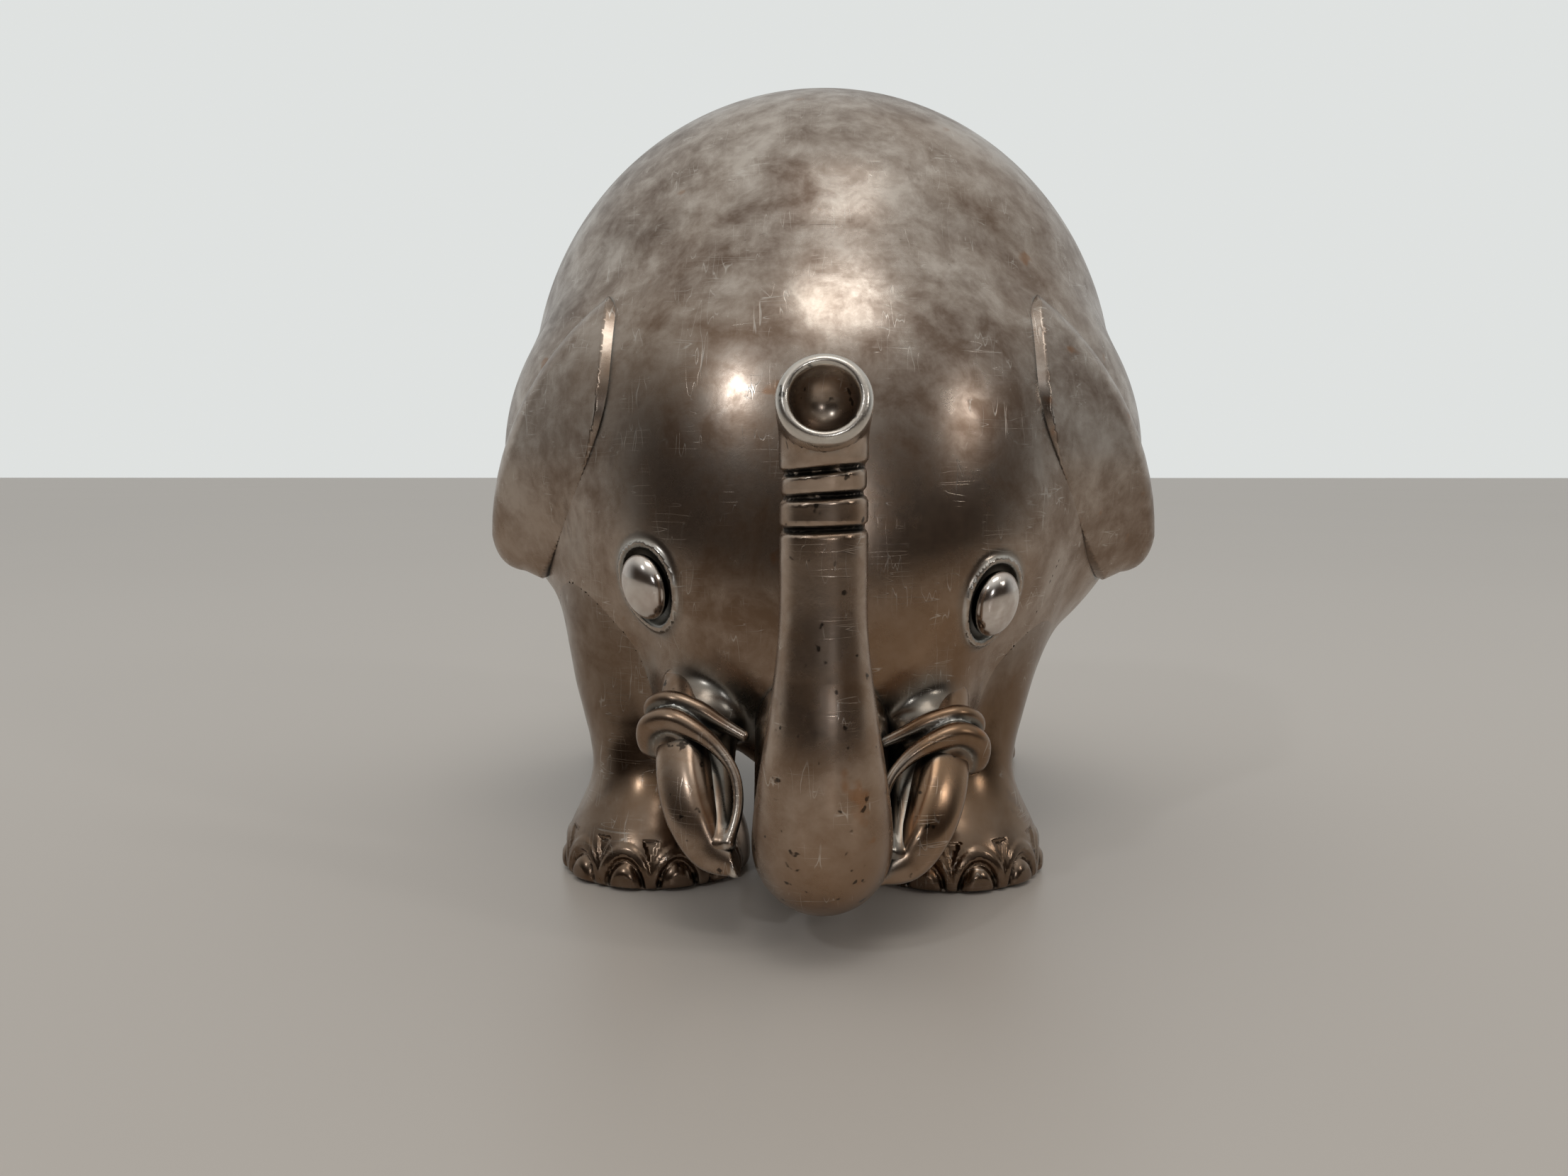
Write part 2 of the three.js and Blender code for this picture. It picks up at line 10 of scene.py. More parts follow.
import bpy
import numpy as np
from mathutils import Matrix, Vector


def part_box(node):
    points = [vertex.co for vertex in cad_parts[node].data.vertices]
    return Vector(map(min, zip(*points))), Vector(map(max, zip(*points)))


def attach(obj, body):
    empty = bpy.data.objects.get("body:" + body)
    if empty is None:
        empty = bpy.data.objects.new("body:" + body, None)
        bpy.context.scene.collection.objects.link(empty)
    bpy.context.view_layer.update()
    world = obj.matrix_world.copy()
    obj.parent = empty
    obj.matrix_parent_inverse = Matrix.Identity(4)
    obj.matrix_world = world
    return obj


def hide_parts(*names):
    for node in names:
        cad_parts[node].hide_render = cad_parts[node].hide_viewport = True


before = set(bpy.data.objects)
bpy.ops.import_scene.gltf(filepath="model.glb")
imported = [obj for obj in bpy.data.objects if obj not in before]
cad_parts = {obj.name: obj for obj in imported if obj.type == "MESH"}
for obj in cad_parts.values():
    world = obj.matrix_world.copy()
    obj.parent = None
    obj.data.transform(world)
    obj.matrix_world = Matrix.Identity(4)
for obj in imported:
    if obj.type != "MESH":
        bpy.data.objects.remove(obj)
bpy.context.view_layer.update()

MM = 0.001
FRONT_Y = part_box("leg_front_left")[0][1] / MM  # the front edge of the front feet, in the frame's y
WALL = 2.4
FAR = 1000.0
COARSENESS = 1.0

# ---------------------------------------------------------------- driving dimensions, mm
DOME = ((0, 55, 65), (46.5, 45, 48))
BARREL = ((0, 40, 55.5), (48, 36, 38.5))
HEAD = ((0, 18, 49), (30.5, 22, 37))
CHIN_WIDTH = 0.72
FACE_LEAN = 0.2
BELLY_Z = 20
SLOT_HALF = (2.4, 18.0)
SLOT_Y = 68
TRAP_Y = 54
TRAP_RADIUS = 14
FACE_ROLL = math.radians(2.6)
ROLL_Z = 45
EYE = {"x": 21.4, "z": 38.3, "half": (3.4, 4.2, 2.3), "proud": 0.55, "slant": math.radians(16)}
SOCKET = (4.15, 5.0, 2.6)
LEGS = {
    "leg_front_left": (17.1, 14.2, 10.0, 1),
    "leg_front_right": (-22.3, 14.2, 10.0, -1),
    "leg_rear_left": (23.5, 77.0, -4.0, 1),
    "leg_rear_right": (-29.5, 77.0, -4.0, -1),
}
FOOT_RADIUS = 14.2
TRUNK = [(0, 3, 26), (0, -7, 15.6), (0, -15.5, 12), (0, -20.6, 20), (0, -21, 32), (0, -20.4, 44),
         (0, -20.2, 53), (0, -22.6, 59.2), (0, -27.4, 61)]
TUSK = [
    (16.2, 4, 25.4), (15.5, -3, 20.9), (14.7, -8, 16), (13.4, -10.6, 12.6), (11.3, -12.3, 9.6),
    (8.2, -14, 8.4),
]
LIP_UPPER = [
    (19.9, -0.6, 22.2), (19.4, -3.0, 24.4), (17.3, -4.4, 25.3), (14.2, -5.0, 24.5), (11.2, -5.4, 23.0),
    (8.4, -5.6, 21.6),
]
LIP_LOWER = [
    (17.4, -2.0, 17.6), (19.6, -3.6, 19.4), (19.6, -5.4, 22.2), (17.2, -6.6, 23.4), (14.0, -7.6, 22.4),
    (11.0, -8.8, 20.5), (8.9, -10.4, 18.0), (8.3, -12.0, 14.8), (9.0, -14.0, 11.0),
]
EAR = {"x": 31.8, "y": 10.8, "sweep": 0.9, "curl": 0.021, "waist": 56.0, "half": 1.75}
EAR_ROOT = {"x": 29.0, "curve": 0.0148, "top": 66, "inset": 3.5}  # the line where the ear leaves the head
EAR_CORNER = [(43.5, 38.8), (48.6, 38.8), (48.7, 44.0)]  # x and z, as the control points of a curve
EAR_RIM = [(48.7, 44.0), (46.8, 55.0), (41.0, 69.0), (29.0, 77.2)]
EAR_ROUNDING = 1.55
TAIL = [(0, 95, 70), (0, 100.6, 63), (0, 103.2, 54), (0, 102.6, 46), (0, 101, 40)]
TRUNK_RADII = {"root": 8.3, "bend": 7.9, "neck": 4.7, "tip": 4.95}
TUSK_RADII = {"root": 3.6, "tip": 1.35}
CAMERA = {"place": (-0.9, -149.4, 54), "yaw": -1.45, "pitch": -5.64, "lens": 28.11}  # mm and degrees
STEP = {  # grid steps of the sheets
    "face": 0.4, "back": 0.62, "front_leg": 0.36, "rear_leg": 0.45, "casting": 0.4, "fine": 0.3, "tail": 0.35,
}

# name, place and size in metres, watts and colour of each soft lamp
LAMPS = [
    ("ceiling_lamp", (0.10, -0.35, 1.0), (0.42, 0.30), 0.9, (1, 0.97, 0.93)),
    ("window_left", (-0.55, -0.75, 0.85), (0.05, 0.10), 0.9, (0.92, 0.96, 1)),
    ("window_right", (0.75, -0.45, 0.55), (0.07, 0.14), 0.5, (1, 0.97, 0.93)),
    ("window_front", (0.16, -0.95, 0.35), (0.05, 0.09), 0.45, (0.95, 0.97, 1)),
]
LAMP_TARGET = (0, 0, 0.06)


# ---------------------------------------------------------------- arithmetic of forms
def ramp(value, low, high):
    """A smooth step from 0 at low to 1 at high."""
    t = np.clip((value - low) / (high - low), 0, 1)
    return t * t * (3 - 2 * t)


def mix(a, b, t):
    return a + (b - a) * t


def length(vectors):
    return np.sqrt((vectors * vectors).sum(axis=1))


def union(a, b, reach):
    """Joins two forms with a fillet about as wide as reach."""
    near = np.maximum(reach - np.abs(a - b), 0) / reach
    return np.minimum(a, b) - near * near * reach * 0.25


def carve(a, b, reach):
    """Takes form b away from form a."""
    return -union(-a, b, reach)


def ellipsoid(p, centre, radii):
    q = (p - np.array(centre)) / np.array(radii)
    size = length(q)
    slope = np.maximum(length(q / np.array(radii)), 1e-6)
    return np.where(size < 0.05, -min(radii), size * (size - 1) / slope)


def locally(p, low, high, form, margin=7.0):
    """Evaluates a form only near the box that holds it; farther off it counts as margin away."""
    near = np.all((p > np.array(low) - margin) & (p < np.array(high) + margin), axis=1)
    value = np.full(len(p), margin)
    if near.any():
        value[near] = form(p[near])
    return value


def rolled(points):
    """Turns points of the face by its small roll."""
    points = np.array(points, float)
    dz = points[..., 2] - ROLL_Z
    x = points[..., 0]
    turned = points.copy()
    turned[..., 0] = x * math.cos(FACE_ROLL) + dz * math.sin(FACE_ROLL)
    turned[..., 2] = ROLL_Z + dz * math.cos(FACE_ROLL) - x * math.sin(FACE_ROLL)
    return turned


def mirrored(points, side):
    return np.array(points, float) * np.array([side, 1, 1])


def mirrored_box(low, high, side):
    """A box given for the elephant's left side, or its mirror image for the right."""
    if side > 0:
        return low, high
    return (-high[0], low[1], low[2]), (-low[0], high[1], high[2])


class Path:
    """A centripetal Catmull-Rom curve, tabulated evenly along its length."""

    def __init__(self, points, samples=500):
        points = np.array(points, float)
        ends = np.vstack([2 * points[0] - points[1], points, 2 * points[-1] - points[-2]])
        u = np.linspace(0, 1, 80, endpoint=False)[:, None]
        pieces = []
        for k in range(len(points) - 1):
            p0, p1, p2, p3 = ends[k:k + 4]
            d0, d1, d2 = (math.sqrt(np.linalg.norm(b - a)) for a, b in ((p0, p1), (p1, p2), (p2, p3)))
            t1 = ((p1 - p0) / d0 - (p2 - p0) / (d0 + d1) + (p2 - p1) / d1) * d1
            t2 = ((p2 - p1) / d1 - (p3 - p1) / (d1 + d2) + (p3 - p2) / d2) * d1
            square = 3 * (p2 - p1) - 2 * t1 - t2
            cube = 2 * (p1 - p2) + t1 + t2
            pieces.append(p1 + t1 * u + square * u**2 + cube * u**3)
        dense = np.vstack(pieces + [points[-1:]])
        walked = np.concatenate([[0], np.cumsum(length(np.diff(dense, axis=0)))])
        self.length = walked[-1]
        self.t = np.linspace(0, 1, samples)
        self.spot = np.stack([np.interp(self.t * self.length, walked, dense[:, i]) for i in range(3)], 1)
        self.way = np.gradient(self.spot, self.t, axis=0)
        self.way /= length(self.way)[:, None]
        self.bend = np.gradient(self.way, self.t * self.length, axis=0)

    def at(self, t, table):
        return np.stack([np.interp(t, self.t, table[:, i]) for i in range(3)], 1)

    def nearest(self, p):
        """Where along the curve each point is, and its offset from the curve there."""
        coarse = slice(None, None, 12)
        best = np.full(len(p), FAR * FAR)
        t = np.zeros(len(p))
        for spot, value in zip(self.spot[coarse], self.t[coarse]):
            d = ((p - spot) ** 2).sum(axis=1)
            closer = d < best
            best[closer] = d[closer]
            t[closer] = value
        for _ in range(4):
            offset = p - self.at(t, self.spot)
            ahead = (offset * self.at(t, self.way)).sum(axis=1)
            shrink = np.maximum(1 - (offset * self.at(t, self.bend)).sum(axis=1), 0.25)
            t = np.clip(t + ahead / (self.length * shrink), 0, 1)
        return t, p - self.at(t, self.spot)

    def tube(self, p, radius_at):
        t, offset = self.nearest(p)
        return length(offset) - radius_at(t)


def polygon(u, v, corners):
    """Signed distance in a plane to a closed outline."""
    best = np.full(len(u), FAR)
    inside = np.zeros(len(u), bool)
    for (au, av), (bu, bv) in zip(corners, np.roll(corners, -1, axis=0)):
        eu, ev = bu - au, bv - av
        wu, wv = u - au, v - av
        t = np.clip((wu * eu + wv * ev) / (eu * eu + ev * ev), 0, 1)
        best = np.minimum(best, np.hypot(wu - t * eu, wv - t * ev))
        crosses = (av > v) != (bv > v)
        inside ^= crosses & (wu < eu * wv / np.where(ev == 0, 1e-9, ev))
    return np.where(inside, -best, best)


# ---------------------------------------------------------------- body, head and legs
def head_form(p):
    width = CHIN_WIDTH + (1 - CHIN_WIDTH) * ramp(p[:, 2], 14, 46)
    leant = np.stack([p[:, 0] / width, p[:, 1] + (HEAD[0][2] - p[:, 2]) * FACE_LEAN, p[:, 2]], 1)
    return ellipsoid(leant, *HEAD)


def trunk_of_body(p):
    """Rump, ribs and head as one smooth mass with a flattened belly."""
    mass = union(ellipsoid(p, *DOME), ellipsoid(p, *BARREL), 2.6)
    mass = -union(-mass, p[:, 2] - BELLY_Z, 6)
    return union(mass, head_form(p), 9)


LEG_PROFILE = np.array([
    (-2, 13.3), (0, 13.6), (3, 13.6), (5, 13.0), (7, 11.9), (9, 10.7), (11, 9.8), (13, 9.5), (16, 10.1),
    (20, 11.8), (24, 13.7), (29, 15.4), (34, 16.0), (48, 14.0),
])


def leg_radius(z):
    """The leg's radius at a height: a smooth curve through the profile."""
    knots, radii = LEG_PROFILE.T
    slopes = np.gradient(radii, knots)
    k = np.clip(np.searchsorted(knots, z) - 1, 0, len(knots) - 2)
    span = knots[k + 1] - knots[k]
    t = np.clip((z - knots[k]) / span, 0, 1)
    t2, t3 = t * t, t * t * t
    value = (2 * t3 - 3 * t2 + 1) * radii[k] + (3 * t2 - 2 * t3) * radii[k + 1]
    return value + span * ((t3 - 2 * t2 + t) * slopes[k] + (t3 - t2) * slopes[k + 1])


NAIL_PITCH = math.radians(33)
NAIL_FIRST = math.radians(14)
NAIL_HALF, NAIL_HEIGHT = 2.9, 3.7
BAND = 1.3  # width of the raised band that follows the arches


def toes(p, across, back, side):
    """How far the toe cuts, nails and scalloped band move the foot's surface inwards."""
    angle = np.arctan2(across * side, -back)
    depth = np.zeros(len(p))
    rim = np.full(len(p), FAR)
    for k in range(-2, 3):
        u = (angle - NAIL_FIRST - k * NAIL_PITCH) * FOOT_RADIUS
        q = np.hypot(u / NAIL_HALF, p[:, 2] / NAIL_HEIGHT)
        arch = (q - 1) * 3.0
        inside = ramp(-arch, 0.2, 1.2)
        depth += 0.75 * np.exp(-((arch / 0.36) ** 2)) - 0.75 * inside * np.sqrt(np.clip(1 - q * q, 0, 1))
        rim = np.minimum(rim, arch)
        v = (angle - NAIL_FIRST - (k + 0.5) * NAIL_PITCH) * FOOT_RADIUS
        notch = np.maximum(np.abs(v) * 1.3 + (4.7 - p[:, 2]) * 0.7, (p[:, 2] - 5.6) * 1.2) - 0.62
        depth += 0.4 * ramp(-notch, -0.35, 0.35) * (k < 2)
    band = ramp(rim, 0.3, 0.7) * (1 - ramp(rim, BAND, BAND + 0.6))
    reach = ramp(-np.abs(angle), -2.05, -1.75)
    return (depth - 0.3 * band) * reach * ramp(p[:, 2], 0.1, 0.6)


def leg_form(p, name):
    x, y, lean, side = LEGS[name]
    across = p[:, 0] - x
    back = p[:, 1] - y - lean * ramp(p[:, 2], 2, 29)
    radial = (np.hypot(across, back) - leg_radius(p[:, 2])) * 0.93
    radial += toes(p, across, back, side)
    top = ellipsoid(np.stack([across, back, np.maximum(p[:, 2], 24)], 1), (0, 0, 24), (16.5, 16.0, 26))
    stump = -union(-radial, -top, 9)
    return -union(-stump, p[:, 2], 1.2)


def legs_form(p):
    value = np.full(len(p), FAR)
    for name in LEGS:
        value = np.minimum(value, leg_form(p, name))
    return value


# ---------------------------------------------------------------- lips and webs
STUB = [(14.2, 13, 26.6), (15.2, 5, 23.4), (15.6, -1, 21.0), (15.4, -3.8, 20.0)]
WEB = [(13.6, 1, 21.6), (12.2, -5, 17.2), (11.0, -9, 13.2), (10.2, -12.4, 10.4)]


def both_sides(points):
    return {side: Path(rolled(mirrored(points, side))) for side in (-1, 1)}


STUB_PATHS = both_sides(STUB)
WEB_PATHS = both_sides(WEB)
UPPER_PATHS = both_sides(LIP_UPPER)
LOWER_PATHS = both_sides(LIP_LOWER)


def upper_radius(t):
    return 1.15 * (1 - 0.35 * ramp(t, 0.6, 1)) * (0.7 + 0.3 * ramp(t, 0, 0.12))


def lower_radius(t):
    return mix(1.45, 0.62, ramp(t, 0.3, 0.75)) * (0.6 + 0.4 * ramp(t, 0, 0.14))


def face_details(p, mass):
    """Adds the cheek stubs, lip ridges and webs to the mass of the face."""
    for side in (-1, 1):
        for path, radius_at, fillet in (
            (STUB_PATHS[side], lambda t: mix(4.4, 3.9, ramp(t, 0.1, 0.9)), 6.0),
            (WEB_PATHS[side], lambda t: mix(3.8, 1.9, t), 2.6),
            (UPPER_PATHS[side], upper_radius, 0.9),
            (LOWER_PATHS[side], lower_radius, 0.9),
        ):
            low, high = path.spot.min(axis=0) - 6, path.spot.max(axis=0) + 6

            def tube(near, path=path, radius_at=radius_at):
                return path.tube(near, radius_at)

            mass = union(mass, locally(p, low, high, tube), fillet)
    return mass


# ---------------------------------------------------------------- eyes
def eye_places():
    """Each eye's centre and its axes: across, up and out of the face."""
    places = {}
    for side in (-1, 1):
        x, _, z = rolled([(side * EYE["x"], 0, EYE["z"])])[0]
        ys = np.linspace(-20, 25, 4501)
        line = np.stack([np.full_like(ys, x), ys, np.full_like(ys, z)], 1)
        spot = line[np.argmax(trunk_of_body(line) < 0)]
        out = slope_of(trunk_of_body, spot[None])[0]
        across = np.cross([0, 0, 1], out)
        across /= np.linalg.norm(across)
        up = np.cross(out, across)
        turn = EYE["slant"] * (1 if side < 0 else 0.5) * -side
        axes = np.stack([
            across * math.cos(turn) + up * math.sin(turn), up * math.cos(turn) - across * math.sin(turn), out,
        ])
        places[side] = (spot, axes)
    return places


def slope_of(form, p, step=0.04):
    """The unit direction in which a form grows."""
    slope = np.empty_like(p)
    for axis in range(3):
        shift = np.zeros(3)
        shift[axis] = step
        slope[:, axis] = form(p + shift) - form(p - shift)
    return slope / np.maximum(length(slope), 1e-12)[:, None]


EYES = eye_places()


def eye_form(p, side, grown=0.0):
    spot, axes = EYES[side]
    q = (p - spot - axes[2] * EYE["proud"]) @ axes.T
    return ellipsoid(q, (0, 0, 0), np.array(EYE["half"]) + grown)


def socket_form(p, side):
    spot, axes = EYES[side]
    q = (p - spot) @ axes.T - np.array([side * 0.35, -0.1, 0])
    return ellipsoid(q, (0, 0, 0), SOCKET)


def sockets(p, mass):
    for side in (-1, 1):
        spot = EYES[side][0]
        near_box = (spot - 7, spot + 7)
        hollow = locally(p, *near_box, lambda near, side=side: socket_form(near, side))
        lip = np.abs(hollow) - 0.6
        mass = union(mass, np.maximum(lip, mass - 0.25), 1.4)
        mass = carve(mass, hollow, 0.6)
    return mass


# ---------------------------------------------------------------- the whole skin
def skin_form(p):
    mass = union(trunk_of_body(p), legs_form(p), 7.5)
    mass = face_details(p, mass)
    return sockets(p, mass)


def body_or_leg(p):
    """Negative where the legs make the skin, positive where the body does."""
    return legs_form(p) - face_details(p, trunk_of_body(p))


# ---------------------------------------------------------------- trunk, tusks, ears, tail
TRUNK_PATH = Path(TRUNK)
TUSK_PATHS = {side: Path(rolled(mirrored(TUSK, side))) for side in (-1, 1)}
TAIL_PATH = Path(TAIL)
BAND_HEIGHTS = (47.6, 51.0, 53.7)  # where the hand-cut bands cross the trunk's front


def trunk_radius(t):
    base = mix(TRUNK_RADII["root"], TRUNK_RADII["bend"], ramp(t, 0, 0.3))
    slim = mix(base, TRUNK_RADII["neck"], ramp(t, 0.3, 0.68))
    return mix(slim, TRUNK_RADII["tip"], ramp(t, 0.9, 0.95))


def trunk_form(p):
    t, offset = TRUNK_PATH.nearest(p)
    way = TRUNK_PATH.at(t, TRUNK_PATH.way)
    along = (offset * way).sum(axis=1)
    across = offset - along[:, None] * way
    radius = trunk_radius(t)
    side = across[:, 0]
    forwards = np.sign(across @ np.array([0, -1.0, 0.2]))
    lift = forwards * np.sqrt(np.maximum((across**2).sum(axis=1) - side**2, 0))
    power = mix(2.0, 2.5, ramp(t, 0.35, 0.6) * (1 - ramp(t, 0.86, 0.92)))
    rho = (np.abs(side) ** power + np.abs(lift) ** power) ** (1 / power)
    wall = rho - radius
    past_tip = (p - TRUNK_PATH.spot[-1]) @ TRUNK_PATH.way[-1]
    past_root = (TRUNK_PATH.spot[0] - p) @ TRUNK_PATH.way[0]
    tube = -union(-wall, -np.where(t > 0.5, past_tip, past_root), 1.4)
    for k, height in enumerate(BAND_HEIGHTS):
        gap = p[:, 2] - height - side * 0.035 * (k + 1)
        groove = np.exp(-((gap / 0.36) ** 2)) * ramp(lift, -2.5, 0.5) * (t < 0.93)
        tube = tube + 0.8 * groove
    tube = tube + 0.16 * ramp(p[:, 2], 50.8, 51.2) * (1 - ramp(p[:, 2], 53.5, 53.9)) * (t < 0.93)
    mouth = TRUNK_PATH.spot[-1] - TRUNK_PATH.way[-1] * 0.3
    ahead = (p - mouth) @ TRUNK_PATH.way[-1]
    ring = length(p - mouth - ahead[:, None] * TRUNK_PATH.way[-1])
    dish = np.hypot(ring / 3.5, np.minimum(ahead, 0) / 4.2) - 1
    return carve(tube, dish * 3.0, 0.7)


def tusk_form(p, side):
    t, offset = TUSK_PATHS[side].nearest(p)
    radius = mix(TUSK_RADII["root"], TUSK_RADII["tip"], t**4.5) - 0.25 * (1 - ramp(t, 0.1, 0.5))
    body = length(offset) - radius
    facet = offset @ np.array([side * 0.35, -0.9, 0.25]) - radius * 0.86
    tusk = -union(-body, -facet, 0.8)
    if side < 0:
        tip = TUSK_PATHS[side].spot[-1]
        cut = (p - tip) @ np.array([0.93, -0.2, 0.3]) - 0.2
        tusk = -union(-tusk, -cut, 0.25)
    return tusk


def ear_root(z):
    """x of the line where the left ear's front face leaves the head."""
    return EAR_ROOT["x"] + EAR_ROOT["curve"] * np.maximum(EAR_ROOT["top"] - z, 0) ** 2


def bezier(controls, samples=13):
    """Points along the smooth curve that a list of control points pulls."""
    t = np.linspace(0, 1, samples)[:, None]
    order = len(controls) - 1
    curve = 0
    for k, control in enumerate(controls):
        curve = curve + math.comb(order, k) * (1 - t) ** (order - k) * t**k * np.array(control)
    return curve


def ear_outline():
    """The flap seen from the front, for the left ear: a rounded lower corner and a long bowed rim."""
    heights = np.linspace(75, 40, 10)
    root = np.stack([ear_root(heights) - EAR_ROOT["inset"], heights], 1)
    return np.vstack([[(ear_root(38.0), 37.8)], bezier(EAR_CORNER), bezier(EAR_RIM)[1:], root])


EAR_OUTLINE = ear_outline()


def ear_form(p, side):
    x, z = p[:, 0] * side, p[:, 2]
    tuck = 1.2 * np.maximum(ear_root(z) - x, 0)
    front = EAR["y"] + EAR["sweep"] * (x - EAR["x"]) + EAR["curl"] * (z - EAR["waist"]) ** 2 + tuck
    deep = (p[:, 1] - front) / math.hypot(1, EAR["sweep"])
    flat = polygon(x, z, EAR_OUTLINE) * 0.8 + EAR_ROUNDING
    thick = np.abs(deep - EAR["half"]) - EAR["half"] + EAR_ROUNDING
    outside = np.hypot(np.maximum(flat, 0), np.maximum(thick, 0))
    return outside + np.minimum(np.maximum(flat, thick), 0) - EAR_ROUNDING


def tail_form(p):
    t, offset = TAIL_PATH.nearest(p)
    around = np.arctan2(offset[:, 0], offset[:, 1] + 1e-9)
    tuft = np.exp(-(((t - 0.86) / 0.1) ** 2))
    radius = 1.9 - 0.5 * t + 1.1 * tuft
    return length(offset) - radius + 0.22 * tuft * np.cos(7 * around)


def everything(p):
    """The whole bank, for telling how enclosed each spot of the surface is."""
    value = skin_form(p)
    value = np.minimum(value, locally(p, (-9, -31, 4), (9, 12, 67), trunk_form))
    for side in (-1, 1):
        path = TUSK_PATHS[side]
        low, high = path.spot.min(axis=0) - 4, path.spot.max(axis=0) + 4
        value = np.minimum(value, locally(p, low, high, lambda near, side=side: tusk_form(near, side)))
        low, high = mirrored_box((24, 4, 36), (51, 44, 79), side)
        value = np.minimum(value, locally(p, low, high, lambda near, side=side: ear_form(near, side)))
        low, high = EYES[side][0] - 5, EYES[side][0] + 5
        value = np.minimum(value, locally(p, low, high, lambda near, side=side: eye_form(near, side)))
    return np.minimum(value, locally(p, (-4, 92, 36), (4, 107, 74), tail_form))


# ---------------------------------------------------------------- meshing
def sample(form, low, high, step):
    """The form's values on a grid: exact near the surface, coarse elsewhere."""
    block = 4
    low = np.array(low, float)
    count = np.ceil((np.array(high) - low) / (step * block)).astype(int)
    knots = [low[i] + step * block * np.arange(count[i] + 1) for i in range(3)]
    grid = np.stack(np.meshgrid(*knots, indexing="ij"), -1)
    rough = form(grid.reshape(-1, 3)).reshape(grid.shape[:3])
    near = np.zeros(tuple(count), bool)
    signs = np.zeros(tuple(count), int)
    for i, j, k in itertools.product((0, 1), repeat=3):
        corner = rough[i:count[0] + i, j:count[1] + j, k:count[2] + k]
        near |= np.abs(corner) < step * block * 1.9
        signs += corner < 0
    near |= (signs > 0) & (signs < 8)
    values = np.repeat(np.repeat(np.repeat(rough, block, 0), block, 1), block, 2)
    values = values[:count[0] * block + 1, :count[1] * block + 1, :count[2] * block + 1]
    fine = np.zeros(values.shape, bool)
    for i, j, k in np.argwhere(near):
        cell = tuple(slice(n * block, (n + 1) * block + 1) for n in (i, j, k))
        fine[cell] = True
    spots = np.argwhere(fine)
    values[fine] = form(low + step * spots)
    return values, low


def net(values, low, step):
    """Quads between the grid's cells that the surface passes through (surface nets)."""
    inside = values < 0
    shape = np.array(values.shape) - 1
    total = np.zeros(tuple(shape), int)
    for i, j, k in itertools.product((0, 1), repeat=3):
        total += inside[i:shape[0] + i, j:shape[1] + j, k:shape[2] + k]
    cells = np.argwhere((total > 0) & (total < 8))
    index = np.full(tuple(shape), -1)
    index[tuple(cells.T)] = np.arange(len(cells))
    summed = np.zeros((len(cells), 3))
    hits = np.zeros(len(cells))
    for axis in range(3):
        others = [a for a in range(3) if a != axis]
        for i, j in itertools.product((0, 1), repeat=2):
            start = np.zeros(3, int)
            start[others[0]], start[others[1]] = i, j
            end = start.copy()
            end[axis] = 1
            a = values[tuple((cells + start).T)]
            b = values[tuple((cells + end).T)]
            crossed = (a < 0) != (b < 0)
            t = np.where(crossed, a / np.where(crossed, a - b, 1), 0)
            place = start + t[:, None] * (end - start)
            summed += place * crossed[:, None]
            hits += crossed
    points = low + step * (cells + summed / hits[:, None])
    quads = []
    for axis in range(3):
        b, c = (axis + 1) % 3, (axis + 2) % 3
        first = [slice(None)] * 3
        second = [slice(None)] * 3
        first[axis], second[axis] = slice(None, -1), slice(1, None)
        a_in, b_in = inside[tuple(first)], inside[tuple(second)]
        edges = np.argwhere(a_in != b_in)
        for across in (b, c):
            edges = edges[(edges[:, across] > 0) & (edges[:, across] < shape[across])]
        corner = []
        for db, dc in ((1, 1), (0, 1), (0, 0), (1, 0)):
            cell = edges.copy()
            cell[:, b] -= db
            cell[:, c] -= dc
            corner.append(index[tuple(cell.T)])
        quad = np.stack(corner, 1)
        out = a_in[tuple(edges.T)]
        quads.append(np.where(out[:, None], quad, quad[:, ::-1]))
    return points, np.vstack(quads)


def settle(form, points, rounds=2):
    """Moves points onto the surface of a form."""
    for _ in range(rounds):
        step = 0.04
        slope = np.empty_like(points)
        for axis in range(3):
            shift = np.zeros(3)
            shift[axis] = step
            slope[:, axis] = (form(points + shift) - form(points - shift)) / (2 * step)
        size = np.maximum((slope * slope).sum(axis=1), 0.05)
        move = form(points) / size
        points = points - np.clip(move, -0.6, 0.6)[:, None] * slope
    return points


def snap(form, border, points, step):
    """Moves the points that lie next to a border onto it, keeping them on the surface."""
    near = np.abs(border(points)) < step * 1.2
    picked = points[near]
    slope = slope_of(border, picked)
    gain = 0.1
    rate = (border(picked + slope * gain) - border(picked - slope * gain)) / (2 * gain)
    away = np.abs(border(picked)) / np.maximum(np.abs(rate), 0.2)
    chosen = np.flatnonzero(near)[away < step * 0.5]
    moved = points[chosen]
    for _ in range(3):
        slope = slope_of(border, moved)
        rate = (border(moved + slope * gain) - border(moved - slope * gain)) / (2 * gain)
        moved = moved - (border(moved) / np.maximum(rate, 0.2))[:, None] * slope
        moved = settle(form, moved, 1)
    points = points.copy()
    points[chosen] = moved
    return points


def surface(form, low, high, step, borders=()):
    """Points and quads of a form's surface on the negative side of every border."""
    step = step * COARSENESS
    values, corner = sample(form, low, high, step)
    points, quads = net(values, corner, step)
    points = settle(form, points)
    for border in borders:
        points = snap(form, border, points, step)
    for border in borders:
        middles = points[quads].mean(axis=1)
        quads = quads[border(middles) < 0]
    used, quads = np.unique(quads, return_inverse=True)
    return points[used], quads.reshape(-1, 4)


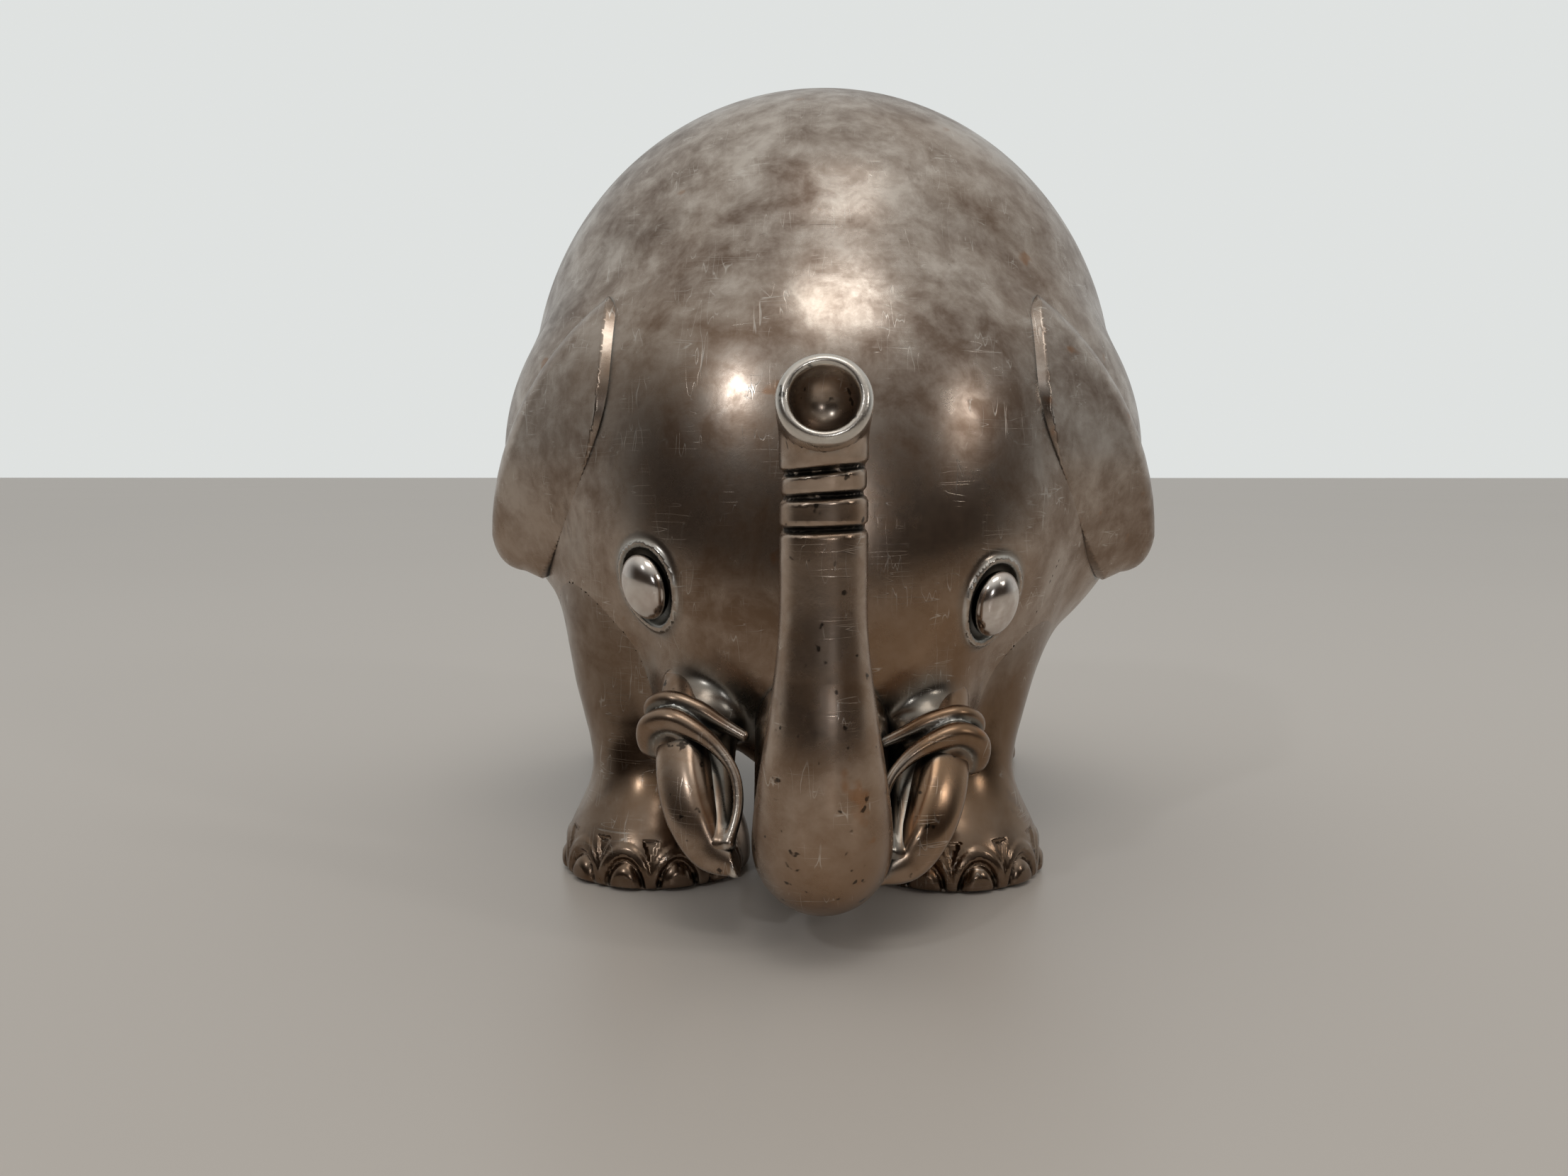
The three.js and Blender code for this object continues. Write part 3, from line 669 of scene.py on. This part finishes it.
def wall_depth(form, points, normals, wall):
    """The wall's thickness at each point: less where the form itself is thin, as in the lips."""
    depth = np.full(len(points), 0.3)
    roomy = np.ones(len(points), bool)
    for trial in np.linspace(0.75, wall, 4):
        roomy &= form(points - normals * trial) < -0.65 * trial
        depth[roomy] = trial
    return depth


def walled(points, quads, normals, depth):
    """Gives a sheet an inner side and closes its edge. Returns points, quads, corner normals and hidden."""
    count = len(points)
    inner = points - normals * depth[:, None]
    edges = np.concatenate([quads[:, [k, (k + 1) % 4]] for k in range(4)])
    keys = edges[:, 0].astype(np.int64) * count + edges[:, 1]
    back = edges[:, 1].astype(np.int64) * count + edges[:, 0]
    rim = edges[~np.isin(keys, back)]
    rim_quads = np.stack([rim[:, 1], rim[:, 0], rim[:, 0] + count, rim[:, 1] + count], 1)
    all_points = np.vstack([points, inner])
    run = all_points[rim_quads[:, 1]] - all_points[rim_quads[:, 0]]
    drop = all_points[rim_quads[:, 3]] - all_points[rim_quads[:, 0]]
    rim_normals = np.cross(run, drop)
    rim_normals /= np.maximum(length(rim_normals), 1e-9)[:, None]
    all_quads = np.vstack([quads, quads[:, ::-1] + count, rim_quads])
    corners = np.concatenate([
        normals[quads].reshape(-1, 3),
        -normals[quads[:, ::-1]].reshape(-1, 3),
        np.repeat(rim_normals, 4, axis=0),
    ])
    hidden = np.concatenate([np.zeros(count), np.ones(count)])
    return all_points, all_quads, corners, hidden


def enclosure(points, normals):
    """How deep in a crease each point is, and how much it stands out on an edge, both from 0 to 1."""
    crevice = np.zeros(len(points))
    for away, weight in ((0.5, 0.35), (1.3, 0.35), (3.6, 0.3)):
        room = everything(points + normals * away) / away
        crevice += weight * np.clip(1 - room, 0, 1)
    wear = np.zeros(len(points))
    for depth, weight in ((0.6, 0.5), (1.6, 0.5)):
        cover = -everything(points - normals * depth) / depth
        wear += weight * np.clip(1 - cover, 0, 1)
    return crevice, wear


def add_piece(name, body, node, parts, material):
    """Builds one mesh from sheets of points, quads, corner normals, crevice and wear."""
    offset = 0
    stacks = [[] for _ in range(5)]
    for points, quads, corners, crevice, wear in parts:
        for stack, item in zip(stacks, (points, quads + offset, corners, crevice, wear)):
            stack.append(item)
        offset += len(points)
    points, quads, corners, crevice, wear = (np.concatenate(stack) for stack in stacks)
    mesh = bpy.data.meshes.new(name)
    mesh.vertices.add(len(points))
    mesh.vertices.foreach_set("co", ((points + np.array([0, FRONT_Y, 0])) * MM).astype(np.float32).ravel())
    mesh.loops.add(quads.size)
    mesh.loops.foreach_set("vertex_index", quads.astype(np.int32).ravel())
    mesh.polygons.add(len(quads))
    mesh.polygons.foreach_set("loop_start", np.arange(0, quads.size, 4, dtype=np.int32))
    mesh.polygons.foreach_set("use_smooth", np.ones(len(quads), bool))
    mesh.update()
    for label, values in (("crevice", crevice), ("wear", wear)):
        layer = mesh.attributes.new(label, "FLOAT", "POINT")
        layer.data.foreach_set("value", values.astype(np.float32))
    mesh.validate()
    mesh.normals_split_custom_set(corners.tolist())
    obj = bpy.data.objects.new(name, mesh)
    bpy.context.scene.collection.objects.link(obj)
    mesh.materials.append(material)
    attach(obj, body)
    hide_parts(node)
    return obj


def sheet(form, low, high, step, borders=(), wall=None):
    """A finished sheet of surface, closed by itself or given a wall."""
    points, quads = surface(form, low, high, step, borders)
    normals = slope_of(form, points)
    crevice, wear = enclosure(points, normals)
    if wall is None:
        return points, quads, normals[quads].reshape(-1, 3), crevice, wear
    depth = wall_depth(form, points, normals, wall)
    all_points, all_quads, corners, hidden = walled(points, quads, normals, depth)
    # the inner side counts as fully in a crease and unworn, so it is painted shade black
    return (all_points, all_quads, corners,
            np.maximum(np.tile(crevice, 2), hidden), np.tile(wear, 2) * (1 - hidden))


# ---------------------------------------------------------------- materials
class Nodes:
    """A small helper that adds shader nodes and links them."""

    def __init__(self, tree):
        self.tree = tree

    def add(self, kind, settings=None, **inputs):
        node = self.tree.nodes.new(kind)
        for key, value in (settings or {}).items():
            setattr(node, key, value)
        for key, value in inputs.items():
            self.feed(node.inputs[key.replace("_", " ")], value)
        return node

    def feed(self, socket, value):
        if isinstance(value, bpy.types.NodeSocket):
            self.tree.links.new(value, socket)
        else:
            socket.default_value = value

    def attribute(self, name):
        return self.add("ShaderNodeAttribute", {"attribute_name": name}).outputs["Fac"]

    def maths(self, operation, a, b=0.0, clamp=False):
        node = self.add("ShaderNodeMath", {"operation": operation, "use_clamp": clamp})
        self.feed(node.inputs[0], a)
        self.feed(node.inputs[1], b)
        return node.outputs[0]

    def noise(self, place, scale, detail=4.0, roughness=0.55, distortion=0.0):
        node = self.add("ShaderNodeTexNoise", Vector=place, Scale=scale, Detail=detail, Roughness=roughness,
                        Distortion=distortion)
        return node.outputs["Fac"]

    def span(self, value, low, high, to_low=0.0, to_high=1.0, smooth=True):
        node = self.add("ShaderNodeMapRange", {"interpolation_type": "SMOOTHSTEP" if smooth else "LINEAR"})
        for label, item in (("Value", value), ("From Min", low), ("From Max", high), ("To Min", to_low),
                            ("To Max", to_high)):
            self.feed(node.inputs[label], item)
        return node.outputs["Result"]

    def blend(self, fac, a, b, mode="MIX"):
        node = self.add("ShaderNodeMix", {"data_type": "RGBA", "blend_type": mode})
        self.feed(node.inputs[0], fac)
        self.feed(node.inputs[6], a)
        self.feed(node.inputs[7], b)
        return node.outputs[2]

    def stretched(self, place, scale, turn):
        node = self.add("ShaderNodeMapping", Vector=place)
        node.inputs["Scale"].default_value = scale
        node.inputs["Rotation"].default_value = turn
        return node.outputs[0]

    def scratches(self, place, scale, turn, width):
        """Thin broken lines: long stretched noise where it crosses its middle value."""
        lines = self.noise(self.stretched(place, scale, turn), 1.0, 1.0, 0.4, 0.2)
        line = self.span(self.maths("ABSOLUTE", self.maths("SUBTRACT", lines, 0.5)), 0.0, width, 1.0, 0.0)
        broken = self.span(self.noise(place, 170.0, 2.0), 0.52, 0.62)
        return self.maths("MULTIPLY", line, broken)


def fresh_material(name):
    material = bpy.data.materials.new(name)
    material.use_nodes = True
    material.node_tree.nodes.clear()
    nodes = Nodes(material.node_tree)
    shader = nodes.add("ShaderNodeBsdfPrincipled")
    output = nodes.add("ShaderNodeOutputMaterial")
    nodes.tree.links.new(shader.outputs[0], output.inputs["Surface"])
    return material, nodes, shader


SILVER_LIGHT = (0.62, 0.56, 0.50, 1)
SILVER_MID = (0.38, 0.32, 0.275, 1)
SILVER_DARK = (0.185, 0.135, 0.105, 1)
# warm brown: random warm tarnish, and the painted reflection of a brown table low down
WARM_TARNISH_AND_TABLE_REFLECTION = (0.26, 0.155, 0.085, 1)
SILVER_WORN = (0.80, 0.76, 0.70, 1)
OXIDE_AND_SHADE_BLACK = (0.012, 0.011, 0.010, 1)
TEAL = (0.17, 0.20, 0.20, 1)
RUST = (0.30, 0.13, 0.045, 1)


def patina(name, painted_lightness=1.0, roughness=0.24, teal=0.0, pits=0.0, oxide_and_shade_span=(0.30, 0.72)):
    """Tarnished silver plate: cloudy grey-taupe, bright where rubbed, black in creases as oxide and painted
    shade.
    """
    material, nodes, shader = fresh_material(name)
    place = nodes.add("ShaderNodeTexCoord").outputs["Object"]
    crevice = nodes.attribute("crevice")
    wear = nodes.attribute("wear")
    height = nodes.add("ShaderNodeSeparateXYZ", Vector=place).outputs["Z"]
    clouds = nodes.noise(place, 55.0, 7.0, 0.62, 0.6)
    mottle = nodes.noise(place, 230.0, 6.0, 0.65, 0.3)
    grain = nodes.noise(place, 1300.0, 3.0, 0.6)
    tone = nodes.maths("ADD", nodes.maths("MULTIPLY", clouds, 0.55), nodes.maths("MULTIPLY", mottle, 0.45))
    colour = nodes.blend(nodes.span(tone, 0.36, 0.52), SILVER_DARK, SILVER_MID)
    colour = nodes.blend(nodes.span(tone, 0.47, 0.64), colour, SILVER_LIGHT)
    warm = nodes.span(nodes.noise(place, 28.0, 3.0, 0.5), 0.42, 0.68)
    # painted reflection of a brown table: darker and warmer towards the bottom, added to random warm tarnish
    painted_table_reflection = nodes.span(height, 0.085, 0.02)
    warm = nodes.maths("MULTIPLY", nodes.maths("ADD", nodes.maths("MULTIPLY", warm, 0.35),
                                               nodes.maths("MULTIPLY", painted_table_reflection, 0.62)), 0.95, True)
    colour = nodes.blend(warm, colour, WARM_TARNISH_AND_TABLE_REFLECTION)
    runs = nodes.noise(nodes.stretched(place, (1, 1, 0.35), (0.2, 0.1, 0)), 90.0, 5.0, 0.7)
    stain = nodes.span(runs, 0.60, 0.70)
    colour = nodes.blend(nodes.maths("MULTIPLY", stain, 0.45), colour, SILVER_DARK)
    lines = nodes.maths("MAXIMUM", nodes.scratches(place, (900, 60, 130), (0.3, 0.5, 0.2), 0.012),
                        nodes.scratches(place, (70, 110, 1000), (0.8, -0.4, 0.9), 0.010))
    colour = nodes.blend(nodes.maths("MULTIPLY", lines, 0.4), colour, SILVER_WORN)
    uneven = nodes.maths("SUBTRACT", mottle, 0.5)
    rubbed = nodes.span(nodes.maths("ADD", wear, nodes.maths("MULTIPLY", uneven, 0.35)), 0.30, 0.75)
    colour = nodes.blend(nodes.maths("MULTIPLY", rubbed, 0.75), colour, SILVER_WORN)
    if teal:
        bloom = nodes.span(nodes.maths("ADD", crevice, nodes.maths("MULTIPLY", clouds, 0.4)), 0.30, 0.62)
        colour = nodes.blend(nodes.maths("MULTIPLY", bloom, teal), colour, TEAL)
    # black in creases: partly oxide, partly painted shade from the crease measure, which estimates how
    # enclosed each spot is
    crease_oxide_and_shade = nodes.maths("ADD", crevice, nodes.maths("MULTIPLY", uneven, 0.5))
    crease_oxide_and_shade = nodes.maths("MULTIPLY", nodes.span(crease_oxide_and_shade, oxide_and_shade_span[0], oxide_and_shade_span[1]), 0.93)
    colour = nodes.blend(crease_oxide_and_shade, colour, OXIDE_AND_SHADE_BLACK)
    drop = nodes.span(nodes.noise(place, 150.0, 3.0, 0.5), 0.70, 0.76)
    colour = nodes.blend(nodes.maths("MULTIPLY", drop, 0.5), colour, RUST)
    if pits:
        speck = nodes.span(nodes.noise(place, 620.0, 2.0, 0.5), 0.66, 0.72)
        colour = nodes.blend(nodes.maths("MULTIPLY", speck, pits), colour, OXIDE_AND_SHADE_BLACK)
    # painted light and shade: the whole colour of this copy made darker or lighter for its piece
    if painted_lightness != 1.0:
        shade = (painted_lightness, painted_lightness, painted_lightness, 1)
        colour = nodes.blend(1.0, colour, shade, "MULTIPLY")
    nodes.feed(shader.inputs["Base Color"], colour)
    shader.inputs["Metallic"].default_value = 1.0
    rough = nodes.maths("ADD", nodes.span(tone, 0.35, 0.65, roughness + 0.07, roughness - 0.05),
                        nodes.maths("MULTIPLY", grain, 0.05))
    rough = nodes.maths("ADD", rough, nodes.maths("MULTIPLY", crease_oxide_and_shade, 0.28), True)
    nodes.feed(shader.inputs["Roughness"], rough)
    relief = nodes.maths("ADD", nodes.maths("MULTIPLY", mottle, 0.5), nodes.maths("MULTIPLY", grain, 0.10))
    relief = nodes.maths("SUBTRACT", relief, nodes.maths("MULTIPLY", lines, 0.25))
    bump = nodes.add("ShaderNodeBump", Height=relief, Strength=0.16, Distance=0.0002)
    nodes.feed(shader.inputs["Normal"], bump.outputs[0])
    return material


def bright_plate(name):
    """Polished eye studs with faint smears and hairline scratches."""
    material, nodes, shader = fresh_material(name)
    place = nodes.add("ShaderNodeTexCoord").outputs["Object"]
    smear = nodes.noise(place, 260.0, 4.0, 0.6, 0.4)
    crevice = nodes.attribute("crevice")
    colour = nodes.blend(nodes.span(smear, 0.35, 0.65), (0.62, 0.54, 0.49, 1), (0.80, 0.75, 0.70, 1))
    # black where the stud sits in its socket: oxide and painted shade
    colour = nodes.blend(nodes.span(crevice, 0.45, 0.8), colour, OXIDE_AND_SHADE_BLACK)
    nodes.feed(shader.inputs["Base Color"], colour)
    shader.inputs["Metallic"].default_value = 1.0
    nodes.feed(shader.inputs["Roughness"], nodes.span(smear, 0.3, 0.7, 0.22, 0.14))
    lines = nodes.scratches(place, (1500, 120, 200), (0.3, 0.5, 0.2), 0.02)
    bump = nodes.add("ShaderNodeBump", Height=lines, Strength=0.1, Distance=0.0001)
    nodes.feed(shader.inputs["Normal"], bump.outputs[0])
    return material


def turned_metal(name, light, dark, roughness):
    """Machined brass or steel: fine rings of tool marks, cloudy tarnish and specks."""
    material, nodes, shader = fresh_material(name)
    place = nodes.add("ShaderNodeTexCoord").outputs["Object"]
    cloud = nodes.noise(place, 210.0, 6.0, 0.65, 0.4)
    fine = nodes.noise(nodes.stretched(place, (900, 900, 9000), (0, 0, 0)), 1.0, 2.0, 0.5)
    colour = nodes.blend(nodes.span(cloud, 0.34, 0.66), dark, light)
    speck = nodes.span(nodes.noise(place, 1500.0, 2.0, 0.5), 0.64, 0.72)
    colour = nodes.blend(nodes.maths("MULTIPLY", speck, 0.6), colour, OXIDE_AND_SHADE_BLACK)
    nodes.feed(shader.inputs["Base Color"], colour)
    shader.inputs["Metallic"].default_value = 1.0
    nodes.feed(shader.inputs["Roughness"], nodes.span(cloud, 0.3, 0.7, roughness + 0.12, roughness))
    bump = nodes.add("ShaderNodeBump", Height=fine, Strength=0.2, Distance=0.00005)
    nodes.feed(shader.inputs["Normal"], bump.outputs[0])
    return material


# ---------------------------------------------------------------- pieces
def slot_border(p):
    """Negative outside the coin slot."""
    corner = 0.8
    q = np.abs(np.stack([p[:, 0], p[:, 1] - SLOT_Y], 1)) - np.array(SLOT_HALF) + corner
    inside = length(np.maximum(q, 0)) + np.minimum(q.max(axis=1), 0) - corner
    return np.where(p[:, 2] > 70, -inside, -FAR)


def trap_border(p):
    inside = np.hypot(p[:, 0], p[:, 1] - TRAP_Y) - TRAP_RADIUS
    return np.where(p[:, 2] < 40, -inside, -FAR)


FACE_BACK = 13.0  # behind this y the shell is plain and takes a coarser grid


def add_shells(material):
    for name, side in (("shell_left", 1), ("shell_right", -1)):
        edge = 2.4
        low, high = mirrored_box((-edge, -19, 4), (54, FACE_BACK + edge, 116), side)

        def middle(p, side=side):
            return -side * p[:, 0]

        def not_leg(p):
            return -body_or_leg(p)

        borders = [middle, not_leg]
        face = sheet(skin_form, low, high, STEP["face"], borders + [lambda p: p[:, 1] - FACE_BACK], WALL)
        low, high = mirrored_box((-edge, FACE_BACK - edge, 14), (54, 103, 116), side)
        back = sheet(skin_form, low, high, STEP["back"],
                     borders + [lambda p: FACE_BACK - p[:, 1], slot_border, trap_border], WALL)
        add_piece(name, "bank", name, [face, back], material)


def add_legs(material):
    for name, (x, y, lean, _) in LEGS.items():
        reach = 17.5
        low = (x - reach, y - reach + min(lean, 0), -1.5)
        high = (x + reach, y + reach + max(lean, 0), 52)
        step = STEP["front_leg"] if "front" in name else STEP["rear_leg"]

        def this_leg(p, name=name):
            others = np.full(len(p), FAR)
            for other in LEGS:
                if other != name:
                    others = np.minimum(others, leg_form(p, other))
            return np.maximum(body_or_leg(p), leg_form(p, name) - others)

        part = sheet(skin_form, low, high, step, [this_leg], WALL)
        add_piece(name, "bank", name, [part], material)


def add_small_castings(plain, marked, bright):
    for name, side in (("left", 1), ("right", -1)):
        path = TUSK_PATHS[side]
        low, high = path.spot.min(axis=0) - 5, path.spot.max(axis=0) + 5
        part = sheet(lambda p, side=side: tusk_form(p, side), low, high, STEP["fine"])
        add_piece(f"tusk_{name}", "bank", f"tusk_{name}", [part], marked)
        low, high = mirrored_box((22, 2, 35), (52, 46, 80), side)
        part = sheet(lambda p, side=side: ear_form(p, side), low, high, STEP["casting"])
        add_piece(f"ear_{name}", "bank", f"ear_{name}", [part], plain)
        spot = EYES[side][0]
        part = sheet(lambda p, side=side: eye_form(p, side), spot - 6, spot + 6, STEP["fine"])
        add_piece(f"eye_{name}", "bank", f"eye_{name}", [part], bright)
    part = sheet(trunk_form, (-10, -31, 2), (10, 13, 67), STEP["casting"])
    add_piece("trunk", "bank", "trunk", [part], marked)
    part = sheet(tail_form, (-5, 91, 35), (5, 108, 75), STEP["tail"])
    add_piece("tail", "bank", "tail", [part], plain)


def dress_cad_nodes(plate):
    """The trap, hinge and lock keep their CAD shapes and get finished metals."""
    brass = turned_metal("lock_brass_turned", (0.62, 0.47, 0.22, 1), (0.30, 0.20, 0.09, 1), 0.26)
    steel = turned_metal("lock_steel", (0.56, 0.55, 0.53, 1), (0.30, 0.29, 0.28, 1), 0.28)
    looks = {name: plate for name in ("trap_frame", "trap_door")}
    looks.update({name: brass for name in ("lock_barrel", "lock_nut", "lock_plug")})
    looks.update({name: steel for name in ("hinge_pin", "lock_washer", "lock_cam", "cam_screw", "key")})
    for name, look in looks.items():
        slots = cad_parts[name].material_slots
        for slot in slots:
            slot.material = look


# ---------------------------------------------------------------- camera, floor and light
def place_camera():
    """The photograph's viewpoint: close, a little above the middle and looking slightly down."""
    yaw, pitch = math.radians(CAMERA["yaw"]), math.radians(CAMERA["pitch"])
    x, y, z = CAMERA["place"]
    data = bpy.data.cameras.new("camera")
    data.sensor_width = 36.0
    data.lens = CAMERA["lens"]
    data.clip_start = 0.01
    camera = bpy.data.objects.new("camera", data)
    camera.location = (x * MM, (y + FRONT_Y) * MM, z * MM)
    camera.rotation_euler = (math.radians(90) + pitch, 0, -yaw)
    bpy.context.scene.collection.objects.link(camera)
    bpy.context.scene.camera = camera


def place_floor():
    size = 6.0
    mesh = bpy.data.meshes.new("floor")
    corners = [(-size, -size, 0), (size, -size, 0), (size, size, 0), (-size, size, 0)]
    mesh.from_pydata(corners, [], [(0, 1, 2, 3)])
    floor = bpy.data.objects.new("floor", mesh)
    bpy.context.scene.collection.objects.link(floor)
    material, nodes, shader = fresh_material("floor")
    place = nodes.add("ShaderNodeTexCoord").outputs["Object"]
    soft = nodes.noise(place, 3.0, 2.0)
    nodes.feed(shader.inputs["Base Color"], nodes.blend(soft, (0.62, 0.57, 0.52, 1), (0.65, 0.60, 0.55, 1)))
    shader.inputs["Roughness"].default_value = 0.35
    mesh.materials.append(material)


def area_light(name, place, size, power, colour):
    data = bpy.data.lights.new(name, "AREA")
    data.shape = "RECTANGLE"
    data.size, data.size_y = size
    data.energy = power
    data.color = colour
    lamp = bpy.data.objects.new(name, data)
    lamp.location = place
    lamp.rotation_euler = (Vector(LAMP_TARGET) - Vector(place)).to_track_quat("-Z", "Y").to_euler()
    bpy.context.scene.collection.objects.link(lamp)


def light_room():
    """A pale room: bright wall behind the bank, dim behind the viewer, soft lamps overhead."""
    world = bpy.data.worlds.new("room")
    bpy.context.scene.world = world
    world.use_nodes = True
    world.node_tree.nodes.clear()
    nodes = Nodes(world.node_tree)
    way = nodes.add("ShaderNodeTexCoord").outputs["Generated"]
    parts = nodes.add("ShaderNodeSeparateXYZ", Vector=way).outputs
    behind = nodes.span(parts["Y"], -0.45, 0.55)
    colour = nodes.blend(behind, (0.035, 0.026, 0.02, 1), (0.62, 0.63, 0.62, 1))
    above = nodes.span(parts["Z"], 0.35, 0.95)
    colour = nodes.blend(above, colour, (0.72, 0.71, 0.68, 1))
    seen = nodes.add("ShaderNodeBackground", Color=(0.74, 0.76, 0.75, 1), Strength=1.0)
    lit = nodes.add("ShaderNodeBackground", Color=colour, Strength=0.9)
    camera_ray = nodes.add("ShaderNodeLightPath").outputs["Is Camera Ray"]
    both = nodes.add("ShaderNodeMixShader")
    nodes.feed(both.inputs[0], camera_ray)
    nodes.tree.links.new(lit.outputs[0], both.inputs[1])
    nodes.tree.links.new(seen.outputs[0], both.inputs[2])
    output = nodes.add("ShaderNodeOutputWorld")
    nodes.tree.links.new(both.outputs[0], output.inputs["Surface"])
    for lamp in LAMPS:
        area_light(*lamp)


bpy.context.scene.view_settings.view_transform = "Standard"
place_camera()
place_floor()
light_room()

plain_silver = patina("silver_patina")
add_shells(patina("silver_patina_shell", teal=0.6, oxide_and_shade_span=(0.48, 1.05)))
# the legs get a darker painted-shade copy of the patina, the trunk and tusks a lighter painted-light copy
add_legs(patina("silver_patina_legs_painted_shade", painted_lightness=0.72, roughness=0.2))
add_small_castings(plain_silver, patina("silver_patina_pitted_painted_light", painted_lightness=1.12, teal=0.35, pits=0.8),
                   bright_plate("bright_eye"))
dress_cad_nodes(plain_silver)
